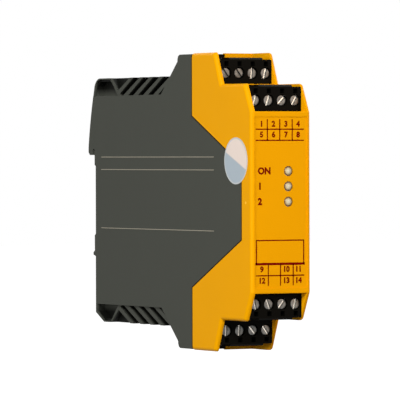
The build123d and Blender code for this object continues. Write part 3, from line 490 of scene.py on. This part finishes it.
STICKER_DEPTH = 10.1 * MM
STICKER_HEIGHT = 13.6 * MM
STICKER_R = 7.7 * MM
STICKER_THICK = 0.08 * MM
STICKER_EASE = 0.03 * MM
STICKER_STEPS = 96
STICKER_SLANT = (0, -0.396, 0.918)
STICKER_BLUR = 0.25 * MM
STICKER_RIM = 0.5 * MM
STICKER_RIM_BLUR = 0.15 * MM
STICKER_PALE = (214, 196, 188)
STICKER_BLUE = (150, 161, 172)
STICKER_RIM_COLOUR = (176, 178, 180)
STICKER_ROUGH = 0.35


def blended(tree, share, first, second):
    """Colour that goes from the first to the second as a share goes from 0 to 1."""
    values = {"Factor": share, "A": first, "B": second}
    return new_node(tree, "ShaderNodeMix", values, data_type="RGBA").outputs["Result"]


def sticker_material():
    """Two tones split by a slanting line through the middle, inside a pale rim."""
    material, tree, shader = new_material("sticker_film")
    values = {"Vector": object_place(tree), "Location": (0, -(FRONT_Y + STICKER_DEPTH), -STICKER_HEIGHT)}
    centred = new_node(tree, "ShaderNodeMapping", values).outputs["Vector"]
    slant = vector_math(tree, "DOT_PRODUCT", centred, STICKER_SLANT, output="Value")
    tones = blended(tree, ranged(tree, slant, -STICKER_BLUR, STICKER_BLUR),
                    linear(*STICKER_BLUE), linear(*STICKER_PALE))
    away = vector_math(tree, "LENGTH", vector_math(tree, "MULTIPLY", centred, (0, 1, 1)), output="Value")
    inner = STICKER_R - STICKER_RIM
    rim = ranged(tree, away, inner - STICKER_RIM_BLUR, inner + STICKER_RIM_BLUR)
    feed(tree, shader.inputs["Base Color"], blended(tree, rim, tones, linear(*STICKER_RIM_COLOUR)))
    shader.inputs["Roughness"].default_value = STICKER_ROUGH
    return material


sticker_profile = ((STICKER_R, 0), (STICKER_R, 0.6 * STICKER_THICK),
                   (STICKER_R - STICKER_EASE, STICKER_THICK))
sticker = side_disc(SIDE_X, STICKER_DEPTH, STICKER_HEIGHT, sticker_profile, STICKER_STEPS)
new_piece("test_sticker", *closed_shells([sticker]), sticker_material(), "housing", "dark_plastic")


# Foot latch and its spring: a black moulded slide under the rail, pushed up by a wound steel spring.
# The spring stands on the housing's lug and has one dead coil at each end.

LATCH_COLOUR = (34, 34, 33)
SPRING_COLOUR = (170, 170, 172)
SPRING_LOW, SPRING_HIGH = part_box("latch_spring")
SPRING_TURNS = 7
DEAD_TURNS = 0.9
TURN_RINGS = 36
WIRE_R = 0.225 * MM
WIRE_STEPS = 12
SCRATCH_SIZE = 900.0
SCRATCH_SHINE = (0.7, 1.4)
MOTTLE_ENDS = (0.35, 0.65)


def plated_steel_group():
    """Plated steel: fine uneven scratches in its roughness, and a tone that mottle makes uneven."""
    group = new_group("plated_steel", {"Color": "Color", "Roughness": "Float", "Mottle": "Float"},
                      {"Color": "Color", "Roughness": "Float"})
    given = group.nodes.new("NodeGroupInput").outputs
    result = group.nodes.new("NodeGroupOutput").inputs
    streak = noise(group, object_place(group), SCRATCH_SIZE, detail=5.0)
    spread = ranged(group, streak, 0.0, 1.0, *SCRATCH_SHINE)
    tone = ranged(group, streak, *MOTTLE_ENDS, number_math(group, "SUBTRACT", 1.0, given["Mottle"]),
                  number_math(group, "ADD", 1.0, given["Mottle"]))
    feed(group, result["Color"], shaded(group, given["Color"], tone))
    feed(group, result["Roughness"], number_math(group, "MULTIPLY", given["Roughness"], spread))
    return group


PLATING = plated_steel_group()


def steel(name, colour, roughness, mottle=0.08):
    """Plated steel of one colour, with the plating group between the colour and the shader."""
    material, tree, shader = new_material(name)
    values = {"Color": linear(*colour), "Roughness": roughness, "Mottle": mottle}
    plating = new_node(tree, "ShaderNodeGroup", values, node_tree=PLATING)
    feed(tree, shader.inputs["Base Color"], plating.outputs["Color"])
    feed(tree, shader.inputs["Roughness"], plating.outputs["Roughness"])
    shader.inputs["Metallic"].default_value = 1.0
    return material


def coil_rings(low, high):
    """Round wire carried along a helix whose pitch is one wire at the dead turns and even between."""
    middle = (low + high) / 2
    radius = (high.x - low.x) / 2 - WIRE_R
    turn = np.linspace(0, SPRING_TURNS, SPRING_TURNS * TURN_RINGS + 1)
    tall = high.z - low.z - 2 * WIRE_R
    dead = 2 * WIRE_R * DEAD_TURNS
    lift = np.interp(turn, [0, DEAD_TURNS, SPRING_TURNS - DEAD_TURNS, SPRING_TURNS],
                     [0, dead, tall - dead, tall])
    angle = 2 * np.pi * turn
    line = np.stack([middle.x + radius * np.cos(angle), middle.y + radius * np.sin(angle),
                     low.z + WIRE_R + lift], axis=1)
    out = np.stack([np.cos(angle), np.sin(angle), 0 * angle], axis=1)
    across, up = circle(WIRE_STEPS)
    return (line[:, None] + WIRE_R * (across[None, :, None] * out[:, None]
                                      + up[None, :, None] * np.array([0, 0, 1.0])))


finish_node("foot_latch", moulded_plastic("latch_black", LATCH_COLOUR, roughness=0.45))
spring = new_piece("latch_coil", *closed_shells([coil_rings(SPRING_LOW, SPRING_HIGH)]),
                   steel("spring_wire", SPRING_COLOUR, roughness=0.25), "housing", "spring_steel", crease=60)
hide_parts("latch_spring")
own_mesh(spring)


# Plug-in terminal blocks: near-black moulded bodies, each with four poles.
# Each pole has a slotted screw in front, a wire way at its outer side and a test recess beside it.

PLUGS = ("top_rear", "top_front", "bottom_front", "bottom_rear")
POLES = (1, 2, 3, 4)
PLUG_COLOUR = (9, 8, 6)

plug_black = moulded_plastic("plug_black", PLUG_COLOUR, roughness=0.38, gloss=0.02)
for plug in PLUGS:
    finish_node(f"plug_{plug}", plug_black)


# Lever tips: the black moulded ends of the release levers, which fill the notches in the end walls of
# the cover. They sit on the housing's tongues.

LEVER_X = (-4.4 * MM, -0.6 * MM)
LEVER_Y = (FRONT_Y + 36.6 * MM, FRONT_Y + 37.02 * MM)
LEVER_HEIGHTS = (45.1 * MM, 49.2 * MM)

tips = [bar(*LEVER_X, *LEVER_Y, *(side * z for z in LEVER_HEIGHTS)) for side in (1, -1)]
new_piece("lever_tips", *closed_shells(tips), plug_black, "housing", "black_plastic")


# Terminal screws: slotted cheese-head screws, turned from steel, rolled thread, zinc plated.
# Each stands as it was left, with its slot at its own angle from upright.

SLOT_ANGLES = {
    "top_rear": (-35, -35, 5, 15), "top_front": (15, 18, 45, 30),
    "bottom_front": (-12, -20, 40, 15), "bottom_rear": (0, 3, -40, -35),
}
# Slot floors are drawn near white as a painted reflection of the lamps, except in the two slots listed here.
UNGLINTED_SLOTS = ("screw_top_rear_1", "screw_top_rear_2")
ZINC_COLOUR = (106, 106, 104)
SLOT_GLINT_COLOUR = (250, 244, 234)
SLOT_WIDE = 0.65 * MM
SLOT_DEEP = 0.6 * MM
SLOT_FLARE = 0.35
GLINT_HALF = 0.4 * SLOT_WIDE
GLINT_NEAR = 0.05 * MM
HEAD_THICK = 1.2 * MM
HEAD_EASE = 0.08 * MM
HEAD_STEPS = 48
HALF_STEPS = 29
HEAD_BEVEL = 0.16 * MM
BEVEL_INSETS = (0, 0, 0.3, 0.7, 1.0, 3.0)
BEVEL_DROPS = (1.0, 0.7, 0.25, 0.08, 0)
SHANK_R = 1.14 * MM
THREAD_DEEP = 0.2 * MM
THREAD_PITCH = 0.5 * MM
THREAD_STEPS = 24
PITCH_RINGS = 8
PLAIN_RUN = 0.5 * MM
PLAIN_SHARE = 0.6


def half_head_rings(radius):
    """Half of the head beside the slot: a circle cut off at the slot's wall, carried from the slot's
    floor to the top at 0 and drawn in there for the bevel."""
    heights = (-SLOT_DEEP, *(-drop * HEAD_BEVEL for drop in BEVEL_DROPS))
    rings = []
    for share, height in zip(BEVEL_INSETS, heights):
        inset = share * HEAD_BEVEL
        own = radius - inset
        reach = np.arccos((SLOT_WIDE / 2 + SLOT_FLARE * inset) / own)
        arc = np.linspace(-reach, reach, HALF_STEPS)
        rings.append(np.stack([own * np.cos(arc), own * np.sin(arc), np.full(HALF_STEPS, height)], axis=1))
    return np.array(rings)


def thread_rings(back, tip):
    """Shank carried from the head to the tip, its radius drawn in by a wave that climbs one pitch a turn."""
    along = np.linspace(back, tip, int((back - tip) / THREAD_PITCH * PITCH_RINGS) + 1)[:, None]
    phase = (along / THREAD_PITCH + np.linspace(0, 1, THREAD_STEPS, endpoint=False)) % 1
    cut = np.clip(np.minimum(along - tip, back - along) / PLAIN_RUN, 0, 1)
    radius = SHANK_R - THREAD_DEEP * (cut * np.abs(2 * phase - 1) + (1 - cut) * PLAIN_SHARE)
    across, up = circle(THREAD_STEPS)
    return np.stack([radius * across, radius * up, np.broadcast_to(along, radius.shape)], axis=-1)[::-1]


def screw_shells(low, high, angle):
    """Screw in its place: worked out upright on Z with its head up, then laid down to face the front."""
    radius = (high.z - low.z) / 2
    across, up = circle(HEAD_STEPS)
    disc_profile = ((radius - HEAD_EASE, -HEAD_THICK), (radius, HEAD_EASE - HEAD_THICK), (radius, -SLOT_DEEP))
    disc = np.array([np.stack([own * across, own * up, np.full(HEAD_STEPS, height)], axis=1)
                     for own, height in disc_profile])
    half = half_head_rings(radius)
    shells = [disc, half, half * (-1, -1, 1), thread_rings(-HEAD_THICK, low.y - high.y)]
    centre = (low + high) / 2
    spin = np.radians(angle)
    placed = []
    for rings in shells:
        side = rings[..., 0] * np.cos(spin) + rings[..., 1] * np.sin(spin)
        rise = rings[..., 1] * np.cos(spin) - rings[..., 0] * np.sin(spin)
        placed.append(np.stack([centre.x + side, low.y - rings[..., 2], centre.z + rise], axis=-1))
    return placed


def brighten_slot(screw, low, high, angle):
    """Painted reflection: give the slot's floor a near-white zinc that stands in for the lamps' glint in it.
    """
    mesh = screw.data
    mesh.materials.append(slot_glint_zinc)
    centres = np.empty(len(mesh.polygons) * 3)
    mesh.polygons.foreach_get("center", centres)
    centres = centres.reshape(-1, 3)
    away = centres - np.array((low + high) / 2)
    spin = np.radians(angle)
    across = np.abs(away[:, 0] * np.cos(spin) - away[:, 2] * np.sin(spin))
    deep = centres[:, 1] - low.y
    inside = (across < GLINT_HALF) & (np.abs(deep - SLOT_DEEP) < GLINT_NEAR)
    mesh.polygons.foreach_set("material_index", inside.astype(int))


zinc = steel("zinc_plate", ZINC_COLOUR, roughness=0.42, mottle=0.3)
# Painted reflection: the slot floors' near-white zinc stands in for the lamps' glint.
slot_glint_zinc = steel("slot_painted_glint", SLOT_GLINT_COLOUR, roughness=0.3)
for plug in PLUGS:
    for pole, angle in zip(POLES, SLOT_ANGLES[plug]):
        node = f"screw_{plug}_{pole}"
        low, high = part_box(node)
        screw = new_piece(f"slotted_{node}", *closed_shells(screw_shells(low, high, angle)), zinc,
                          f"{plug}_screw_{pole}", "zinc_steel", crease=35)
        if node not in UNGLINTED_SLOTS:
            brighten_slot(screw, low, high, angle)
        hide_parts(node)
        finish_node(node, zinc)


# Clamp cages and contacts: folded steel cages, zinc plated, that rise on the screws, and contact strips
# pressed from tin-plated sheet.

TIN_COLOUR = (205, 200, 185)

tin = steel("tinned_contact", TIN_COLOUR, roughness=0.3)
for plug in PLUGS:
    finish_node(f"contacts_{plug}", tin)
    for pole in POLES:
        finish_node(f"cage_{plug}_{pole}", zinc)


# Headers and pins: black mouldings in the bay walls, with square tinned pins pressed through them.
# Behind the wall the pins are bent to the main board.

HEADER_COLOUR = (28, 28, 27)

header_black = moulded_plastic("header_black", HEADER_COLOUR, roughness=0.5)
for plug in PLUGS:
    finish_node(f"header_{plug}", header_black)
    finish_node(f"pins_{plug}", tin)


# Circuit boards: glass laminate with etched copper under green lacquer.
# The tracks show as paler lines on both faces, in rough squares that run up and along the board.

BOARD_GREEN = (26, 84, 50)
BOARD_ROUGH = 0.28
TRACK_GREEN = (52, 124, 70)
TRACK_PITCH = 2.6 * MM
TRACK_LOOSE = 0.35
TRACK_ENDS = (0.05, 0.09)
TRACK_HIGH = 0.03 * MM


def board_material():
    """Green lacquer with a net of raised tracks along the borders between cells of a loose square grid."""
    material, tree, shader = new_material("board_lacquer")
    values = {"Vector": object_place(tree), "Scale": 1 / TRACK_PITCH, "Randomness": TRACK_LOOSE}
    border = new_node(tree, "ShaderNodeTexVoronoi", values, feature="DISTANCE_TO_EDGE").outputs["Distance"]
    track = ranged(tree, border, *TRACK_ENDS, 1.0, 0.0)
    feed(tree, shader.inputs["Base Color"], blended(tree, track, linear(*BOARD_GREEN), linear(*TRACK_GREEN)))
    feed(tree, shader.inputs["Normal"], bump(tree, track, TRACK_HIGH, strength=0.5))
    shader.inputs["Roughness"].default_value = BOARD_ROUGH
    return material


board_green = board_material()
finish_node("main_board", board_green)
finish_node("indicator_board", board_green)


# Relays: sealed cases of pale moulded plastic, closed at the foot with a darker potting.
# Both are soldered to the main board.

RELAY_PALE = (212, 212, 204)
POTTING_DARK = (70, 66, 60)
POTTING_HIGH = 0.9 * MM
SPLIT_BLUR = 0.1 * MM


def split_material(name, axis, edge, below, above, roughness, centre=None):
    """Moulded plastic of two colours that meet at one place along an axis of the object, or, with a
    centre, at one distance from it."""
    material = moulded_plastic(name, above, roughness)
    tree = material.node_tree
    grain = next(node for node in tree.nodes if node.type == "GROUP")
    along = split_vector(tree, object_place(tree))[axis]
    if centre is None:
        share = ranged(tree, along, edge - SPLIT_BLUR / 2, edge + SPLIT_BLUR / 2)
    else:
        share = number_math(tree, "SUBTRACT", 1.0, number_math(tree, "COMPARE", along, centre, edge))
    feed(tree, grain.inputs["Color"], blended(tree, share, linear(*below), linear(*above)))
    return material


potting_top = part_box("relay_1")[0].x + POTTING_HIGH
relay_case = split_material("relay_case", "X", potting_top, POTTING_DARK, RELAY_PALE, roughness=0.35)
finish_node("relay_1", relay_case)
finish_node("relay_2", relay_case)


# Capacitors: aluminium cans, each in a dark shrunk sleeve that leaves the top's rim bare.
# They stand on the main board and are soldered to it.

SLEEVE_COLOUR = (30, 32, 44)
CAN_COLOUR = (176, 178, 180)
CAN_RIM = 0.5 * MM

sleeve_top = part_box("capacitors")[1].x - CAN_RIM
can_sleeve = split_material("can_sleeve", "X", sleeve_top, SLEEVE_COLOUR, CAN_COLOUR, roughness=0.3)
finish_node("capacitors", can_sleeve)


# Transformer: ground ferrite core on a bobbin, with the winding under yellow tape between its legs.
# The bobbin stands on the main board and is soldered to it.

TAPE_COLOUR = (198, 150, 60)
FERRITE_COLOUR = (58, 58, 60)
CORE_LEG = 4.0 * MM

core_low, core_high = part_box("transformer")
core_middle = (core_low.z + core_high.z) / 2
coil_half = (core_high.z - core_low.z) / 2 - CORE_LEG
finish_node("transformer", split_material("ferrite", "Z", coil_half, TAPE_COLOUR, FERRITE_COLOUR,
                                          roughness=0.55, centre=core_middle))


# Light guide and lamps: a clear moulding whose three domes show in the front, with lamps behind it.
# The domes are drawn pale at the tip, with an amber ring at the rim that is painted reflection of the cover's
# yellow and painted shade.

GUIDE_LOW, GUIDE_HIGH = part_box("light_guide")
GUIDE_COLOUR = (196, 192, 176)
LAMP_COLOUR = (235, 235, 225)
DOME_R = 1.42 * MM
DOME_HIGH = 0.6 * MM
DOME_TIP = 0.02
DOME_RINGS = 12
DOME_SEAT = 0.8 * MM
STEM_R = 1.6 * MM
STEM_STEPS = 40
WEB_FRONT = FRONT_Y + 1.6 * MM
WEB_BACK = FRONT_Y + 3.0 * MM
LENS_RUN = 1.2 * MM
# Tones along the lens: the dark amber ring is painted reflection of the cover's yellow and painted shade.
LENS_TONES = ((0.0, (200, 192, 170)), (0.2, (178, 164, 130)), (0.45, (96, 60, 14)), (1.0, (200, 196, 184)))
LENS_ROUGH = 0.18
LENS_GLOSS = 0.2


def lens_shell(x, z):
    """Domed stem: a cap of radius R = (r^2 + h^2) / 2h on a shoulder and a straight stem, turned about Y."""
    ball = (DOME_R ** 2 + DOME_HIGH ** 2) / (2 * DOME_HIGH)
    lean = np.linspace(DOME_TIP, np.arcsin(DOME_R / ball), DOME_RINGS)
    radius = np.concatenate([ball * np.sin(lean), [DOME_R, STEM_R, STEM_R]])[:, None]
    back = np.concatenate([ball * (1 - np.cos(lean)), [DOME_SEAT, DOME_SEAT, GUIDE_HIGH.y - GUIDE_LOW.y]])
    across, up = circle(STEM_STEPS)
    y = np.broadcast_to((GUIDE_LOW.y + back)[:, None], (len(back), STEM_STEPS))
    return np.stack([x + radius * across, y, z + radius * up], axis=-1)


def lens_material():
    """Clear plastic: pale at the dome's tip, an amber ring at its foot that is painted reflection of the
    cover's yellow and painted shade, pale again along the stem.
    """
    material, tree, shader = new_material("lens_clear")
    depth = split_vector(tree, object_place(tree))["Y"]
    share = ranged(tree, depth, GUIDE_LOW.y, GUIDE_LOW.y + LENS_RUN)
    ramp = new_node(tree, "ShaderNodeValToRGB", {"Fac": share})
    for spot, colour in LENS_TONES[1:-1]:
        ramp.color_ramp.elements.new(spot).color = linear(*colour)
    ramp.color_ramp.elements[0].color = linear(*LENS_TONES[0][1])
    ramp.color_ramp.elements[-1].color = linear(*LENS_TONES[-1][1])
    feed(tree, shader.inputs["Base Color"], ramp.outputs["Color"])
    shader.inputs["Roughness"].default_value = LENS_ROUGH
    shader.inputs["Specular IOR Level"].default_value = LENS_GLOSS
    return material


guide_middle = (GUIDE_LOW.x + GUIDE_HIGH.x) / 2
lenses = [lens_shell(guide_middle, z * MM) for z in LENS_HEIGHTS]
lenses.append(bar(GUIDE_LOW.x, GUIDE_HIGH.x, WEB_FRONT, WEB_BACK, GUIDE_LOW.z, GUIDE_HIGH.z))
domes = new_piece("domed_lenses", *closed_shells(lenses), lens_material(), "housing", "lens_clear", crease=35)
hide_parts("light_guide")
finish_node("light_guide", moulded_plastic("lens_frosted", GUIDE_COLOUR, roughness=0.22))
finish_node("indicator_leds", moulded_plastic("lamp_body", LAMP_COLOUR, roughness=0.4))


# Camera: a long lens at the photograph's viewing angle, almost level, from the front left.
# Its place, turns and shift were solved from the corners of the module's outline.

CAMERA_LENS = 400.3
CAMERA_SENSOR = 36.0
CAMERA_SHIFT = (0.0081, 0.00235)
CAMERA_REACH = 50.0
CAMERA_PLACE = Vector((-0.7277, -1.3693, 0.0164))
CAMERA_TURN = 0.505
CAMERA_TILT = 0.0109
CAMERA_ROLL = -0.0026

ahead = Vector((np.sin(CAMERA_TURN) * np.cos(CAMERA_TILT), np.cos(CAMERA_TURN) * np.cos(CAMERA_TILT),
                -np.sin(CAMERA_TILT)))
level = Vector((np.cos(CAMERA_TURN), -np.sin(CAMERA_TURN), 0))
sideways = float(np.cos(CAMERA_ROLL)) * level + float(np.sin(CAMERA_ROLL)) * level.cross(ahead)
upward = sideways.cross(ahead)
camera_data = bpy.data.cameras.new("camera")
camera_data.lens = CAMERA_LENS
camera_data.sensor_width = CAMERA_SENSOR
camera_data.shift_x, camera_data.shift_y = CAMERA_SHIFT
camera_data.clip_end = CAMERA_REACH
camera = bpy.data.objects.new("camera", camera_data)
bpy.context.collection.objects.link(camera)
camera.matrix_world = (Matrix.Translation(CAMERA_PLACE)
                       @ Matrix((sideways, upward, -ahead)).transposed().to_4x4())
bpy.context.scene.camera = camera


# Studio: soft square lamps round the module, a pale floor below it and a white surround.
# Camera, gloss and glass see floor and surround as white, and both give the module next to no light.

MIDDLE = Vector((0, -0.055, 0))
NEUTRAL = (1.0, 1.02, 0.98)
WARM = (1.0, 0.72, 0.5)
SURROUND_LIGHT = 0.06
SURROUND_SEEN = 1.0
FLOOR_Z = -0.11
FLOOR_HALF = 4.0
FLOOR_GREY = (0.12, 0.12, 0.12, 1)
FLOOR_ROUGH = 0.9
FLOOR_SEEN = 0.96
WHITE = (1, 1, 1, 1)


def lamp(name, place, size, watts, colour=(1, 1, 1)):
    """Square area lamp that faces the middle of the module."""
    data = bpy.data.lights.new(name, "AREA")
    data.size = size
    data.energy = watts
    data.color = colour
    thing = bpy.data.objects.new(name, data)
    bpy.context.collection.objects.link(thing)
    thing.location = place
    thing.rotation_euler = (MIDDLE - Vector(place)).to_track_quat("-Z", "Y").to_euler()


def seen_level(tree, unseen, seen):
    """One level for light on the object, and another for what the camera, gloss or glass sees."""
    path = new_node(tree, "ShaderNodeLightPath", {}).outputs
    either = number_math(tree, "MAXIMUM", path["Is Camera Ray"], path["Is Glossy Ray"])
    any_of_them = number_math(tree, "MAXIMUM", either, path["Is Transmission Ray"])
    return ranged(tree, any_of_them, 0.0, 1.0, unseen, seen)


lamp("key", (-0.65, -0.9, 0.55), size=0.4, watts=13.8, colour=NEUTRAL)
lamp("side", (-1.0, -0.4, 0.1), size=0.3, watts=4.9, colour=NEUTRAL)
lamp("front", (0.5, -1.1, 0.35), size=0.4, watts=3.8, colour=WARM)
lamp("top", (0.5, -0.1, 0.95), size=0.3, watts=4)
lamp("right", (1.2, 0.1, 0.35), size=0.5, watts=9)
lamp("back", (0.15, 1.2, 0.3), size=0.5, watts=9)

world = bpy.data.worlds.new("studio")
bpy.context.scene.world = world
world.use_nodes = True
background = world.node_tree.nodes["Background"]
background.inputs["Color"].default_value = WHITE
surround_level = seen_level(world.node_tree, SURROUND_LIGHT, SURROUND_SEEN)
feed(world.node_tree, background.inputs["Strength"], surround_level)

floor_corners = [(x * FLOOR_HALF, y * FLOOR_HALF, FLOOR_Z) for x, y in ((-1, -1), (1, -1), (1, 1), (-1, 1))]
floor_mesh = bpy.data.meshes.new("floor")
floor_mesh.from_pydata(floor_corners, [], [(0, 1, 2, 3)])
floor = bpy.data.objects.new("floor", floor_mesh)
bpy.context.collection.objects.link(floor)
floor_paint, floor_tree, floor_shader = new_material("floor_paint")
floor_shader.inputs["Base Color"].default_value = FLOOR_GREY
floor_shader.inputs["Roughness"].default_value = FLOOR_ROUGH
floor_shader.inputs["Emission Color"].default_value = WHITE
feed(floor_tree, floor_shader.inputs["Emission Strength"], seen_level(floor_tree, 0.0, FLOOR_SEEN))
floor_mesh.materials.append(floor_paint)

bpy.context.scene.view_settings.view_transform = "Standard"
